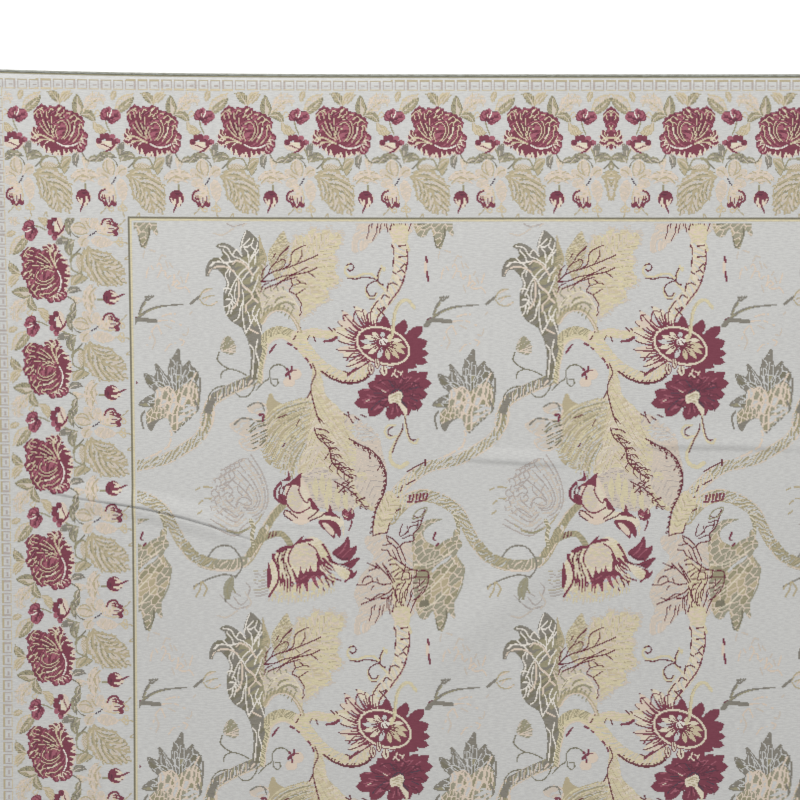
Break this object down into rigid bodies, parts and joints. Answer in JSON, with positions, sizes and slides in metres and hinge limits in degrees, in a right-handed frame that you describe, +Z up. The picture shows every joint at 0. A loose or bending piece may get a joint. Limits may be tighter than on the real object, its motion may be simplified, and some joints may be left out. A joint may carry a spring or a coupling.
{
  "type": "flat-woven wool area rug",
  "caption": "Flat-woven wool area rug with a floral field and border, overcast edge cords, lying flat with soft folds.",
  "frame": {"origin": "on the floor, under the middle of the rug", "axes": "+X across the rug to its right-hand side, +Y along the rug to its head end, +Z up out of the patterned face"},
  "size_m": [2.712, 3.68, 0.0115],
  "materials": {
    "wool_cloth": "matt flat weave",
    "edge_cord": "matt overcast wool"
  },
  "bodies": {
    "root": {"woven_cloth": "wool_cloth", "edge_cord_head": "edge_cord", "edge_cord_foot": "edge_cord", "edge_cord_left": "edge_cord", "edge_cord_right": "edge_cord"}
  },
  "joints": []
}
